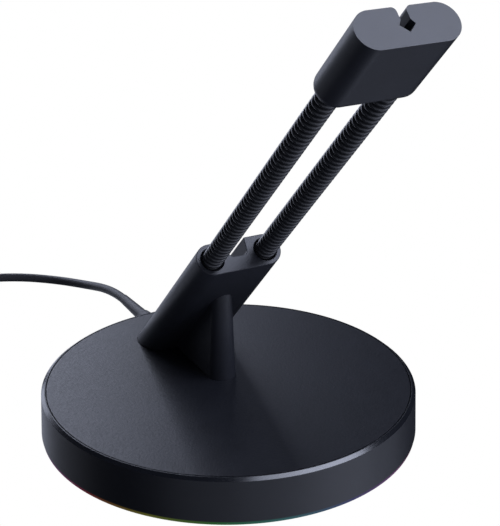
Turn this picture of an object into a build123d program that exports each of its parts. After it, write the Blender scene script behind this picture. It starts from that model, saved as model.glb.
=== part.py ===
from build123d import *

import math
import os

# A weighted desk stand whose twin-spring arm holds a mouse cable clear of the desk.
# Millimetres, +Z up. The origin is on the desk, under the middle of the round base.
# The arm leans towards -Y, where the mouse is, and its two springs stand side by side along X.

# Base, outside
base_radius = 55.0
base_height = 14.4  # top of the base above the desk
rim_chamfer_width = 0.95
rim_chamfer_height = 0.8
rim_land = 0.35  # flat ring between the chamfer and the groove
panel_groove = 0.3  # open groove between the rim and the top panel
panel_thickness = 1.8
panel_edge = 0.2

# Base, inside
wall_thickness = 2.5
deck_thickness = 2.0
ledge_width = 1.5  # the wall is thicker by this above the light board
foot_thickness = 1.1
foot_recess = 0.5  # how deep the foot is set into the base plate
foot_margin = 1.5  # base plate left showing round the foot
foot_inner_radius = 20.0
foot_edge = 0.3
plate_thickness = 2.0
plate_step = 1.5  # base plate is this much smaller than the inside of the wall
rib_radius = 30.0  # the base plate's rib, which bears on the ballast
rib_width = 2.0
light_lip_height = 1.0  # the part of the light ring that shows under the wall
light_setback = 0.2
light_shelf_width = 1.7
light_shelf_height = 0.9
ballast_thickness = 4.0
ballast_margin = 1.3  # from the ballast's edge to the light board
ballast_flat = 7.5  # cut off the back of the ballast, to clear the board's tab

# Light board
board_thickness = 1.2
board_width = 5.4
board_tab_width = 24.0
board_tab_gap = 0.5  # from the tab to the ballast's flat
led_count = 8
led_length = 3.2
led_width = 2.8
led_height = 1.4
led_gap = 0.2  # from a lamp to the light ring
chip_side = 5.0
chip_height = 1.0
chip_edge = 0.25
chip_offset = 7.0  # from the cable's line, across the tab
header_width = 9.0
header_length = 4.5
header_height = 4.2

# Screws
base_screw_count = 4
base_screw_angle = 45.0  # where the first of them stands round the base
boss_radius = 3.5
boss_edge = 7.5  # from the bosses' circle to the ballast's edge
screw_radius = 1.45
screw_bite = 6.5  # how far a screw goes into its boss
base_screw_head_radius = 2.8
countersink_angle = 90.0
arm_screw_head_radius = 2.8
arm_screw_head_height = 2.0
arm_screw_spread = 13.0  # between the two screws under the holder
arm_screw_setback = 2.3  # those two stand this far in front of the arm's root
strut_screw_setback = 5.3  # the third stands this far behind the strut's nose axis

# Arm
arm_lean = 44.0  # degrees from upright
arm_root_setback = 20.37  # from the base's back edge to where the arm's axis meets the top
holder_length = 60.05  # along the axis, from the top of the base
holder_radius = 4.72  # of the stadium section's ends, at the mouth
holder_draft = 0.4
holder_edge = 0.25
strut_reach = 29.94  # from the arm's root to the axis of the strut's nose
strut_radius = 4.25  # of the strut's nose, at the deck
strut_draft = 2.2
channel_floor_width = 5.3
channel_floor = -0.4  # the channel's floor, measured from the arm's axis towards its back
channel_draft = 5.0
channel_round = 1.2
channel_stop = 16.0  # where the channel ends, along the axis from the top of the base

# Springs
spring_spacing = 16.58
spring_radius = 3.0
spring_bore_radius = 1.25
spring_pitch = 1.875
spring_groove = 0.6
spring_reach = 88.8  # bare length between holder and clip
holder_seat_depth = 22.0
clip_seat_depth = 14.0
seat_mouth_radius = 3.45
seat_mouth_depth = 3.0

# Clip
clip_length = 25.7
clip_radius = 5.0
clip_end_round = 3.0
clip_front_edge = 0.2
slot_neck_width = 2.5
slot_lip_radius = 1.3
slot_throat = 1.6  # heights across the clip, measured from the arm's axis
slot_pocket_middle = 0.35
slot_pocket_bottom = -1.6
slot_pocket_width = 4.2

# Cable
cable_radius = 1.5
arc_share = 0.45  # of a run of the route that the arc at either end takes
gland_rise = 2.7  # the cable's axis above the light board
relief_root_radius = 3.3
relief_tip_radius = 2.4
relief_length = 8.0
relief_neck_radius = 2.7
relief_flange_width = 9.0
relief_flange_thickness = 1.5

# The cable's route from the strain relief to the coil, and from the coil to the plug.
cable_route = [
    (0.0, 63.0, 9.0),
    (0.0, 78.0, 9.0),
    (-0.3, 93.5, 7.0),
    (-2.5, 108.0, 3.2),
    (-9.0, 120.5, 1.5),
    (-20.0, 129.5, 1.5),
    (-33.0, 134.8, 1.5),
    (-47.0, 137.1, 1.8),
    (-61.0, 137.3, 2.3),
]
tail_route = [
    (-81.3, 117.0, 11.3),
    (-81.5, 104.0, 9.6),
    (-82.4, 89.0, 4.0),
    (-82.4, 77.0, 4.0),
]

# Coil of the length that is put away, with its tie
coil_x = -61.0
coil_y = 117.0
coil_mid_radius = 17.25
coil_columns = 3
coil_layers = 4
coil_edge = 1.2
tie_thickness = 0.8
tie_width = 6.0

# Plug
plug_thickness = 8.0
plug_width = 15.8
plug_length = 20.0
plug_round = 2.0
plug_neck_length = 8.0
plug_neck_radius = 2.9
plug_neck_tip_radius = 2.2
shell_width = 12.0
shell_thickness = 4.5
shell_wall = 0.4
shell_length = 12.0
window_width = 2.5  # of the two catch windows in each broad face of the shell
window_length = 2.0
window_spacing = 5.2
window_setback = 5.2  # from the shell's mouth
tongue_thickness = 1.9
tongue_setback = 0.6
contact_count = 4
contact_pitch = 2.2
contact_width = 1.0
contact_height = 0.2
contact_length = 7.0

# Clearances
fit_gap = 0.1  # between pieces that are pushed together
seat_gap = 0.05  # round a spring or a screw in its seat
loose_gap = 0.3  # between pieces that only pass each other

# Heights, worked out from the desk up
plate_bottom = foot_thickness - foot_recess
plate_top = plate_bottom + plate_thickness
wall_bottom = plate_bottom + light_lip_height
light_top = plate_top + light_shelf_height
board_bottom = light_top + led_gap + led_height
board_top = board_bottom + board_thickness
deck_top = base_height - panel_thickness
deck_bottom = deck_top - deck_thickness
ballast_bottom = deck_bottom - ballast_thickness
cable_height = board_top + gland_rise

# Radii, worked out from the rim inwards
panel_seat_radius = base_radius - rim_chamfer_width - rim_land
panel_radius = panel_seat_radius - panel_groove
inner_radius = base_radius - wall_thickness
ledge_radius = inner_radius - ledge_width
plate_radius = inner_radius - plate_step
foot_radius = plate_radius - foot_margin
board_radius = inner_radius - loose_gap
board_inner_radius = board_radius - board_width
led_circle = board_radius - board_width / 2
ballast_radius = board_inner_radius - ballast_margin
ballast_back = ballast_radius - ballast_flat
boss_circle = ballast_radius - boss_edge
seat_radius = spring_radius + seat_gap

# Places along the arm. Its plane has X across, Y towards the arm's back and Z along the axis.
arm_root = base_radius - arm_root_setback
lean = math.radians(arm_lean)
arm_plane = Plane(
    origin=(0, arm_root, base_height),
    x_dir=(1, 0, 0),
    z_dir=(0, -math.sin(lean), math.cos(lean)),
)
clip_start = holder_length + spring_reach
strut_nose = arm_root - strut_reach
arm_screw_places = [
    (-arm_screw_spread / 2, arm_root - arm_screw_setback),
    (arm_screw_spread / 2, arm_root - arm_screw_setback),
    (0, strut_nose + strut_screw_setback),
]
spring_places = [(-spring_spacing / 2, 0), (spring_spacing / 2, 0)]

os.makedirs("parts", exist_ok=True)


def save(piece, name):
    """Names a finished piece and writes it."""
    piece.label = name
    export_step(piece, f"parts/{name}.step")


def arm_blank(grow):
    """The holder and its strut as one drafted solid, with its sides moved out by grow."""
    root_depth = 2 * panel_thickness + holder_radius
    blank_length = holder_length + root_depth
    root_radius = holder_radius + blank_length * math.tan(math.radians(holder_draft)) + grow
    strut_height = strut_reach / math.tan(lean) + panel_thickness
    with BuildPart() as strut:
        with BuildSketch(Plane.XY.offset(deck_top)):
            with Locations((0, strut_nose + strut_reach / 2)):
                SlotCenterToCenter(strut_reach, 2 * (strut_radius + grow), rotation=90)
        extrude(amount=strut_height, taper=strut_draft)
        split(bisect_by=Plane(arm_plane.origin, (1, 0, 0), arm_plane.y_dir), keep=Keep.BOTTOM)
    with BuildPart() as blank:
        with BuildSketch(arm_plane.offset(-root_depth)):
            SlotCenterToCenter(spring_spacing, 2 * root_radius)
        extrude(amount=blank_length, taper=holder_draft)
        split(bisect_by=Plane.XY.offset(deck_top), keep=Keep.TOP)
        add(strut.part)
    return blank.part


# Base housing: wall, rim and deck, with bosses for the base screws
with BuildPart() as base_housing:
    with BuildSketch(Plane.XZ):
        with BuildLine():
            Polyline(
                (0, deck_bottom),
                (ledge_radius, deck_bottom),
                (ledge_radius, board_top),
                (inner_radius, board_top),
                (inner_radius, wall_bottom),
                (base_radius, wall_bottom),
                (base_radius, base_height - rim_chamfer_height),
                (base_radius - rim_chamfer_width, base_height),
                (panel_seat_radius, base_height),
                (panel_seat_radius, deck_top),
                (0, deck_top),
                close=True,
            )
        make_face()
    revolve(axis=Axis.Z)
    with BuildSketch(Plane.XY.offset(plate_top)):
        with PolarLocations(boss_circle, base_screw_count, start_angle=base_screw_angle):
            Circle(boss_radius)
    extrude(until=Until.NEXT)
    with BuildSketch(Plane.XY.offset(plate_top)):
        with PolarLocations(boss_circle, base_screw_count, start_angle=base_screw_angle):
            Circle(screw_radius + seat_gap)
    extrude(amount=screw_bite + loose_gap, mode=Mode.SUBTRACT)
    with BuildSketch(Plane.XY.offset(deck_bottom)):
        with Locations(*arm_screw_places):
            Circle(screw_radius + fit_gap)
    extrude(amount=deck_thickness, mode=Mode.SUBTRACT)
    with BuildSketch(Plane.XZ.offset(-base_radius)):
        with Locations((0, cable_height)):
            Circle(relief_neck_radius + fit_gap)
    extrude(amount=base_radius - board_inner_radius, mode=Mode.SUBTRACT)
save(base_housing.part, "base_housing")

# Top panel, open where the arm stands through it
with BuildPart() as top_panel:
    with BuildSketch(Plane.XY.offset(deck_top)):
        Circle(panel_radius)
    extrude(amount=panel_thickness)
    chamfer(top_panel.faces().sort_by(Axis.Z)[-1].edges(), panel_edge)
    add(arm_blank(fit_gap), mode=Mode.SUBTRACT)
save(top_panel.part, "top_panel")

# Channel for the mouse cable, as the shape that is taken out of the holder's back
with BuildPart() as channel:
    channel_top = 2 * holder_radius
    channel_depth = channel_top - channel_floor
    channel_width = channel_floor_width + 2 * channel_depth * math.tan(math.radians(channel_draft))
    channel_run = 2 * (holder_length - channel_stop)
    channel_plane = Plane(
        origin=arm_plane.from_local_coords((0, channel_top, holder_length)),
        x_dir=(1, 0, 0),
        z_dir=arm_plane.y_dir,
    )
    with BuildSketch(channel_plane):
        SlotOverall(channel_run, channel_width, rotation=90)
    extrude(amount=-channel_depth, taper=channel_draft)
    fillet(channel.faces().sort_by(Axis((0, 0, 0), arm_plane.y_dir))[0].edges(), channel_round)

# Arm holder and strut, one moulding, with seats for the two springs
with BuildPart() as arm_holder:
    add(arm_blank(0))
    mouth = arm_holder.faces().sort_by(Axis((0, 0, 0), arm_plane.z_dir))[-1]
    chamfer(mouth.edges(), holder_edge)
    with Locations(arm_plane.offset(holder_length)):
        with Locations(*spring_places):
            CounterBoreHole(seat_radius, seat_mouth_radius, seat_mouth_depth, holder_seat_depth)
    add(channel.part, mode=Mode.SUBTRACT)
    with BuildSketch(Plane.XY.offset(deck_top)):
        with Locations(*arm_screw_places):
            Circle(screw_radius + seat_gap)
    extrude(amount=screw_bite + loose_gap, mode=Mode.SUBTRACT)
save(arm_holder.part, "arm_holder")

# Springs, ridged where they are bare and plain in their seats
ridge_start = holder_length - seat_mouth_depth
ridge_count = round((clip_start - ridge_start) / spring_pitch)
ridge_step = (clip_start - ridge_start) / ridge_count
spring_profile = [
    (spring_bore_radius, holder_length - holder_seat_depth),
    (spring_radius, holder_length - holder_seat_depth),
    (spring_radius, ridge_start),
]
for turn in range(ridge_count):
    groove_middle = ridge_start + (turn + 0.5) * ridge_step
    spring_profile.append((spring_radius - spring_groove, groove_middle))
    spring_profile.append((spring_radius, groove_middle + ridge_step / 2))
spring_profile.append((spring_radius, clip_start + clip_seat_depth))
spring_profile.append((spring_bore_radius, clip_start + clip_seat_depth))

for spring_name, spring_place in zip(("left_spring", "right_spring"), spring_places):
    spring_plane = Plane(
        origin=arm_plane.from_local_coords((*spring_place, 0)),
        x_dir=(1, 0, 0),
        z_dir=-arm_plane.y_dir,
    )
    with BuildPart() as spring:
        with BuildSketch(spring_plane):
            with BuildLine():
                Polyline(*spring_profile, close=True)
            make_face()
        revolve(axis=Axis(spring_plane.origin, arm_plane.z_dir))
    save(spring.part, spring_name)

# Cable clip, with a keyhole slot from its back edge to a pocket at its middle
with BuildPart() as cable_clip:
    with BuildSketch(arm_plane.offset(clip_start)):
        SlotCenterToCenter(spring_spacing, 2 * clip_radius)
    extrude(amount=clip_length)
    along_arm = Axis((0, 0, 0), arm_plane.z_dir)
    fillet(cable_clip.faces().sort_by(along_arm)[0].edges(), clip_end_round)
    chamfer(cable_clip.faces().sort_by(along_arm)[-1].edges(), clip_front_edge)
    with BuildSketch(arm_plane.offset(clip_start)):
        with Locations(*spring_places):
            Circle(seat_radius)
    extrude(amount=clip_seat_depth, mode=Mode.SUBTRACT)
    neck = slot_neck_width / 2
    slot_top = 2 * clip_radius
    with BuildSketch(arm_plane.offset(clip_start)):
        with BuildLine():
            Polyline(
                (0, slot_pocket_bottom),
                (slot_pocket_width / 2, slot_pocket_middle),
                (neck, slot_throat),
                (neck, clip_radius - slot_lip_radius),
            )
            RadiusArc(
                (neck, clip_radius - slot_lip_radius),
                (neck + slot_lip_radius, clip_radius),
                slot_lip_radius,
            )
            Polyline(
                (neck + slot_lip_radius, clip_radius),
                (neck + slot_lip_radius, slot_top),
                (0, slot_top),
                (0, slot_pocket_bottom),
            )
        make_face()
        mirror(about=Plane(arm_plane.offset(clip_start).origin, arm_plane.z_dir, (1, 0, 0)))
    extrude(amount=clip_length, mode=Mode.SUBTRACT)
save(cable_clip.part, "cable_clip")

# Ballast, with holes for the bosses and for the heads of the arm screws
with BuildPart() as ballast_plate:
    with BuildSketch(Plane.XY.offset(ballast_bottom)):
        Circle(ballast_radius)
        with Locations((0, ballast_back)):
            Rectangle(
                2 * ballast_radius,
                2 * ballast_radius,
                align=(Align.CENTER, Align.MIN),
                mode=Mode.SUBTRACT,
            )
        with PolarLocations(boss_circle, base_screw_count, start_angle=base_screw_angle):
            Circle(boss_radius + loose_gap, mode=Mode.SUBTRACT)
        with Locations(*arm_screw_places):
            Circle(arm_screw_head_radius + loose_gap, mode=Mode.SUBTRACT)
    extrude(amount=ballast_thickness)
save(ballast_plate.part, "ballast_plate")

# Base plate, recessed below for the foot and ribbed above to bear on the ballast
with BuildPart() as base_plate:
    with BuildSketch(Plane.XZ):
        with BuildLine():
            Polyline(
                (0, plate_bottom),
                (foot_inner_radius - fit_gap, plate_bottom),
                (foot_inner_radius - fit_gap, foot_thickness),
                (foot_radius + fit_gap, foot_thickness),
                (foot_radius + fit_gap, plate_bottom),
                (plate_radius, plate_bottom),
                (plate_radius, plate_top),
                (rib_radius, plate_top),
                (rib_radius, ballast_bottom),
                (rib_radius - rib_width, ballast_bottom),
                (rib_radius - rib_width, plate_top),
                (0, plate_top),
                close=True,
            )
        make_face()
    revolve(axis=Axis.Z)
    with Locations(Plane((0, 0, foot_thickness), (1, 0, 0), (0, 0, -1))):
        with PolarLocations(boss_circle, base_screw_count, start_angle=base_screw_angle):
            CounterSinkHole(
                screw_radius + fit_gap,
                base_screw_head_radius + fit_gap,
                counter_sink_angle=countersink_angle,
            )
save(base_plate.part, "base_plate")

# Rubber foot
with BuildPart() as rubber_foot:
    with BuildSketch():
        Circle(foot_radius)
        Circle(foot_inner_radius, mode=Mode.SUBTRACT)
    extrude(amount=foot_thickness)
    chamfer(rubber_foot.faces().sort_by(Axis.Z)[0].edges(), foot_edge)
save(rubber_foot.part, "rubber_foot")

# Base screws, countersunk into the base plate
sink_depth = (base_screw_head_radius - screw_radius) / math.tan(math.radians(countersink_angle / 2))
with BuildPart() as base_screws:
    with BuildSketch(Plane.XZ):
        with BuildLine():
            Polyline(
                (0, foot_thickness),
                (base_screw_head_radius, foot_thickness),
                (screw_radius, foot_thickness + sink_depth),
                (screw_radius, plate_top + screw_bite),
                (0, plate_top + screw_bite),
                close=True,
            )
        make_face()
    one_screw = revolve(axis=Axis.Z, mode=Mode.PRIVATE)
    with PolarLocations(boss_circle, base_screw_count, start_angle=base_screw_angle):
        add(one_screw)
save(base_screws.part, "base_screws")

# Arm screws, up through the deck into the holder and the strut
with BuildPart() as arm_screws:
    with BuildSketch(Plane.XY.offset(deck_bottom)):
        with Locations(*arm_screw_places):
            Circle(arm_screw_head_radius)
    extrude(amount=-arm_screw_head_height)
    with BuildSketch(Plane.XY.offset(deck_bottom)):
        with Locations(*arm_screw_places):
            Circle(screw_radius)
    extrude(amount=deck_thickness + screw_bite)
save(arm_screws.part, "arm_screws")

# Light ring: a lip under the wall and a shelf that the base plate clamps
with BuildPart() as light_ring:
    with BuildSketch(Plane.XZ):
        with BuildLine():
            Polyline(
                (plate_radius + fit_gap, plate_bottom),
                (base_radius - light_setback, plate_bottom),
                (base_radius - light_setback, wall_bottom),
                (inner_radius - fit_gap, wall_bottom),
                (inner_radius - fit_gap, light_top),
                (plate_radius - light_shelf_width, light_top),
                (plate_radius - light_shelf_width, plate_top),
                (plate_radius + fit_gap, plate_top),
                close=True,
            )
        make_face()
    revolve(axis=Axis.Z)
save(light_ring.part, "light_ring")

# Light board: a ring with a tab at the back for the cable's header and the chip
tab_front = ballast_back + board_tab_gap
relief_inner = math.sqrt(ledge_radius**2 - (relief_flange_width / 2) ** 2) - fit_gap
with BuildPart() as light_board:
    with BuildSketch(Plane.XY.offset(board_bottom)):
        Circle(board_radius)
        Circle(board_inner_radius, mode=Mode.SUBTRACT)
        with Locations((0, tab_front)):
            Rectangle(board_tab_width, board_radius - tab_front - board_width / 2,
                      align=(Align.CENTER, Align.MIN))
        with Locations((0, relief_inner)):
            Rectangle(2 * (relief_neck_radius + loose_gap), board_radius,
                      align=(Align.CENTER, Align.MIN), mode=Mode.SUBTRACT)
    extrude(amount=board_thickness)
save(light_board.part, "light_board")

# Lamps on the board's underside, over the light ring
with BuildPart() as leds:
    with BuildSketch(Plane.XY.offset(board_bottom)):
        with PolarLocations(led_circle, led_count, start_angle=180 / led_count):
            Rectangle(led_width, led_length)
    extrude(amount=-led_height)
save(leds.part, "leds")

# Control chip and cable header on the tab
with BuildPart() as control_chip:
    with BuildSketch(Plane.XY.offset(board_top)):
        with Locations((-chip_offset, tab_front + board_tab_gap)):
            Rectangle(chip_side, chip_side, align=(Align.CENTER, Align.MIN))
    extrude(amount=chip_height)
    chamfer(control_chip.faces().sort_by(Axis.Z)[-1].edges(), chip_edge)
save(control_chip.part, "control_chip")

header_back = tab_front + board_tab_gap + header_length
with BuildPart() as board_header:
    with BuildSketch(Plane.XY.offset(board_top)):
        with Locations((0, header_back)):
            Rectangle(header_width, header_length, align=(Align.CENTER, Align.MAX))
    extrude(amount=header_height)
save(board_header.part, "board_header")

# Strain relief: flange inside the wall, neck through it and a tapered tube outside
with BuildPart() as strain_relief:
    with BuildSketch(Plane.XZ.offset(-relief_inner)):
        with Locations((0, (board_top + deck_bottom) / 2)):
            Rectangle(relief_flange_width, deck_bottom - board_top - 2 * fit_gap)
    extrude(amount=relief_flange_thickness)
    with BuildSketch(Plane.YZ):
        with BuildLine():
            Polyline(
                (relief_inner, cable_height),
                (relief_inner, cable_height + relief_neck_radius),
                (base_radius, cable_height + relief_neck_radius),
                (base_radius, cable_height + relief_root_radius),
                (base_radius + relief_length, cable_height + relief_tip_radius),
                (base_radius + relief_length, cable_height),
                close=True,
            )
        make_face()
    revolve(axis=Axis((0, 0, cable_height), (0, 1, 0)))
save(strain_relief.part, "strain_relief")

# Cable lead inside the base, from the strain relief to the header
with BuildPart() as inner_lead:
    with BuildSketch(Plane.XZ.offset(-header_back)):
        with Locations((0, cable_height)):
            Circle(cable_radius)
    extrude(amount=-(relief_inner - relief_flange_thickness - header_back))
save(inner_lead.part, "inner_lead")


def tube_along(route, name):
    """A cable of round section along straight runs joined by the largest arcs they allow."""
    points = [Vector(*place) for place in route]
    radii = []
    for before, corner, after in zip(points, points[1:], points[2:]):
        turn = math.radians((corner - before).get_angle(after - corner))
        shorter = min((corner - before).length, (after - corner).length)
        radii.append(arc_share * shorter / math.tan(turn / 2))
    print(name, "arc radii", [round(radius, 1) for radius in radii])
    with BuildPart() as tube:
        with BuildLine() as path:
            FilletPolyline(*points, radius=radii)
        with BuildSketch(Plane(origin=path.line @ 0, z_dir=path.line % 0)):
            Circle(cable_radius)
        sweep(path=path.line)
    length = sum(edge.length for edge in path.edges())
    share = tube.part.volume / (math.pi * cable_radius**2 * length)
    print(name, "length", round(length, 1), "volume over section times length", round(share, 4))
    return tube.part


# USB cable: its free run, its coil and the tail to the plug
save(tube_along(cable_route, "usb_cable"), "usb_cable")
save(tube_along(tail_route, "usb_cable_tail"), "usb_cable_tail")

coil_width = coil_columns * 2 * cable_radius
coil_height = coil_layers * 2 * cable_radius
with BuildPart() as usb_cable_coil:
    with BuildSketch(Plane.XY.offset(tie_thickness)):
        with Locations((coil_x, coil_y)):
            Circle(coil_mid_radius + coil_width / 2)
            Circle(coil_mid_radius - coil_width / 2, mode=Mode.SUBTRACT)
    extrude(amount=coil_height)
    chamfer(usb_cable_coil.edges(), coil_edge)
save(usb_cable_coil.part, "usb_cable_coil")

# Tie: a strap round the coil's section, on its front side
tie_inner_edge = math.sqrt((coil_mid_radius - coil_width / 2) ** 2 - (tie_width / 2) ** 2)
tie_outer_edge = coil_mid_radius + coil_width / 2
with BuildPart() as cable_tie:
    with BuildSketch(Plane.YZ.offset(coil_x - tie_width / 2)):
        with Locations((coil_y - (tie_inner_edge + tie_outer_edge) / 2, tie_thickness + coil_height / 2)):
            RectangleRounded(
                tie_outer_edge - tie_inner_edge + 2 * tie_thickness + 2 * fit_gap,
                coil_height + 2 * tie_thickness,
                coil_edge + tie_thickness,
            )
            RectangleRounded(
                tie_outer_edge - tie_inner_edge + 2 * fit_gap,
                coil_height,
                coil_edge,
                mode=Mode.SUBTRACT,
            )
    extrude(amount=tie_width)
save(cable_tie.part, "cable_tie")

# USB plug, lying flat with its mouth towards -Y
plug_x, plug_back, plug_z = tail_route[-1]
body_back = plug_back - plug_neck_length
body_front = body_back - plug_length
with BuildPart() as usb_plug_body:
    with BuildSketch(Plane.XZ.offset(-body_back)):
        with Locations((plug_x, plug_z)):
            RectangleRounded(plug_width, plug_thickness, plug_round)
    extrude(amount=plug_length)
    with BuildSketch(Plane.XZ.offset(-body_back)):
        with Locations((plug_x, plug_z)):
            Circle(plug_neck_radius)
    with BuildSketch(Plane.XZ.offset(-plug_back)):
        with Locations((plug_x, plug_z)):
            Circle(plug_neck_tip_radius)
    loft()
save(usb_plug_body.part, "usb_plug_body")

with BuildPart() as usb_plug_shell:
    with BuildSketch(Plane.XZ.offset(-body_front)):
        with Locations((plug_x, plug_z)):
            Rectangle(shell_width, shell_thickness)
            Rectangle(shell_width - 2 * shell_wall, shell_thickness - 2 * shell_wall, mode=Mode.SUBTRACT)
    extrude(amount=shell_length)
    with BuildSketch(Plane.XY.offset(plug_z)):
        with Locations((plug_x, body_front - shell_length + window_setback)):
            with GridLocations(window_spacing, 1, 2, 1):
                Rectangle(window_width, window_length, align=(Align.CENTER, Align.MIN))
    extrude(amount=shell_thickness, both=True, mode=Mode.SUBTRACT)
save(usb_plug_shell.part, "usb_plug_shell")

# The tongue stands against the shell's upper wall and carries the contacts below
tongue_top = plug_z + shell_thickness / 2 - shell_wall
with BuildPart() as usb_plug_tongue:
    with BuildSketch(Plane.XZ.offset(-body_front)):
        with Locations((plug_x, tongue_top)):
            Rectangle(shell_width - 2 * shell_wall, tongue_thickness, align=(Align.CENTER, Align.MAX))
    extrude(amount=shell_length - tongue_setback)
save(usb_plug_tongue.part, "usb_plug_tongue")

with BuildPart() as usb_plug_contacts:
    with BuildSketch(Plane.XZ.offset(-(body_front - tongue_setback))):
        with Locations((plug_x, tongue_top - tongue_thickness)):
            with GridLocations(contact_pitch, 1, contact_count, 1):
                Rectangle(contact_width, contact_height, align=(Align.CENTER, Align.MAX))
    extrude(amount=contact_length)
save(usb_plug_contacts.part, "usb_plug_contacts")
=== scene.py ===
"""A mouse bungee: a weighted, underlit desk stand whose twin-spring arm carries a cable clip.

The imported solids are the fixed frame. This script models the pieces that show, gives every piece
its finish, lays the USB lead and sets the studio. Lengths are metres in the solids' own frame: +Z
is up from the desk, the arm leans towards -Y and its springs stand side by side along X.
"""

from __future__ import annotations

import logging
import math
from collections.abc import Callable, Iterator, Sequence
from contextlib import contextmanager
from dataclasses import dataclass, field
from enum import Enum

import bmesh
import bpy
from mathutils import Matrix, Vector

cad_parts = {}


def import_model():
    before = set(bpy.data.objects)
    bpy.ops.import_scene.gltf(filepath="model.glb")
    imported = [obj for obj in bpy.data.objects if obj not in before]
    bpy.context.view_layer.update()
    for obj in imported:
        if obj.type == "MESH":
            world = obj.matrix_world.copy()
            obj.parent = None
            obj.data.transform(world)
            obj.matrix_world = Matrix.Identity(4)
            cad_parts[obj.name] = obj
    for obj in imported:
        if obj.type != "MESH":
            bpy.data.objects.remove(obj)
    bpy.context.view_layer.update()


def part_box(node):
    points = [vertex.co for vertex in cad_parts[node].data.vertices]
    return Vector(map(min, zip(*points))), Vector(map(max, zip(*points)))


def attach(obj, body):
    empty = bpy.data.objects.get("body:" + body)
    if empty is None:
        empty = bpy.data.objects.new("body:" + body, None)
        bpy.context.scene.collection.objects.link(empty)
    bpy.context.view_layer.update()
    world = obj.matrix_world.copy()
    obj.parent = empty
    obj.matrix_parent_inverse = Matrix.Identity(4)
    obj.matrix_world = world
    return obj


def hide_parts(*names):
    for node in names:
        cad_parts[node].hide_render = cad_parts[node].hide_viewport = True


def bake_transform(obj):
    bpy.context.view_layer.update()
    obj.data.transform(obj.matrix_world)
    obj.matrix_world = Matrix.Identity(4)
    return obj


LOG = logging.getLogger("mouse_bungee")
MM = 0.001
WELD = 1e-6
Z_TO_Y = Matrix.Rotation(-math.pi / 2, 4, "X")
WHITE = (1.0, 1.0, 1.0)

Piece = bpy.types.Object
Socket = bpy.types.NodeSocket
Colour = tuple[float, float, float]
Place = tuple[float, float, float]
Outline = Sequence[tuple[float, float]]


class Body(Enum):
    """The bodies that the joints move."""

    BASE = "base"
    SPRINGS = "springs"
    CLIP = "clip"


class Join(Enum):
    """How one shape is combined with another."""

    UNION = "UNION"
    DIFFERENCE = "DIFFERENCE"


class Side(Enum):
    """One of two sides across X, seen with the arm leaning towards the viewer."""

    LEFT = -1
    RIGHT = 1


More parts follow.
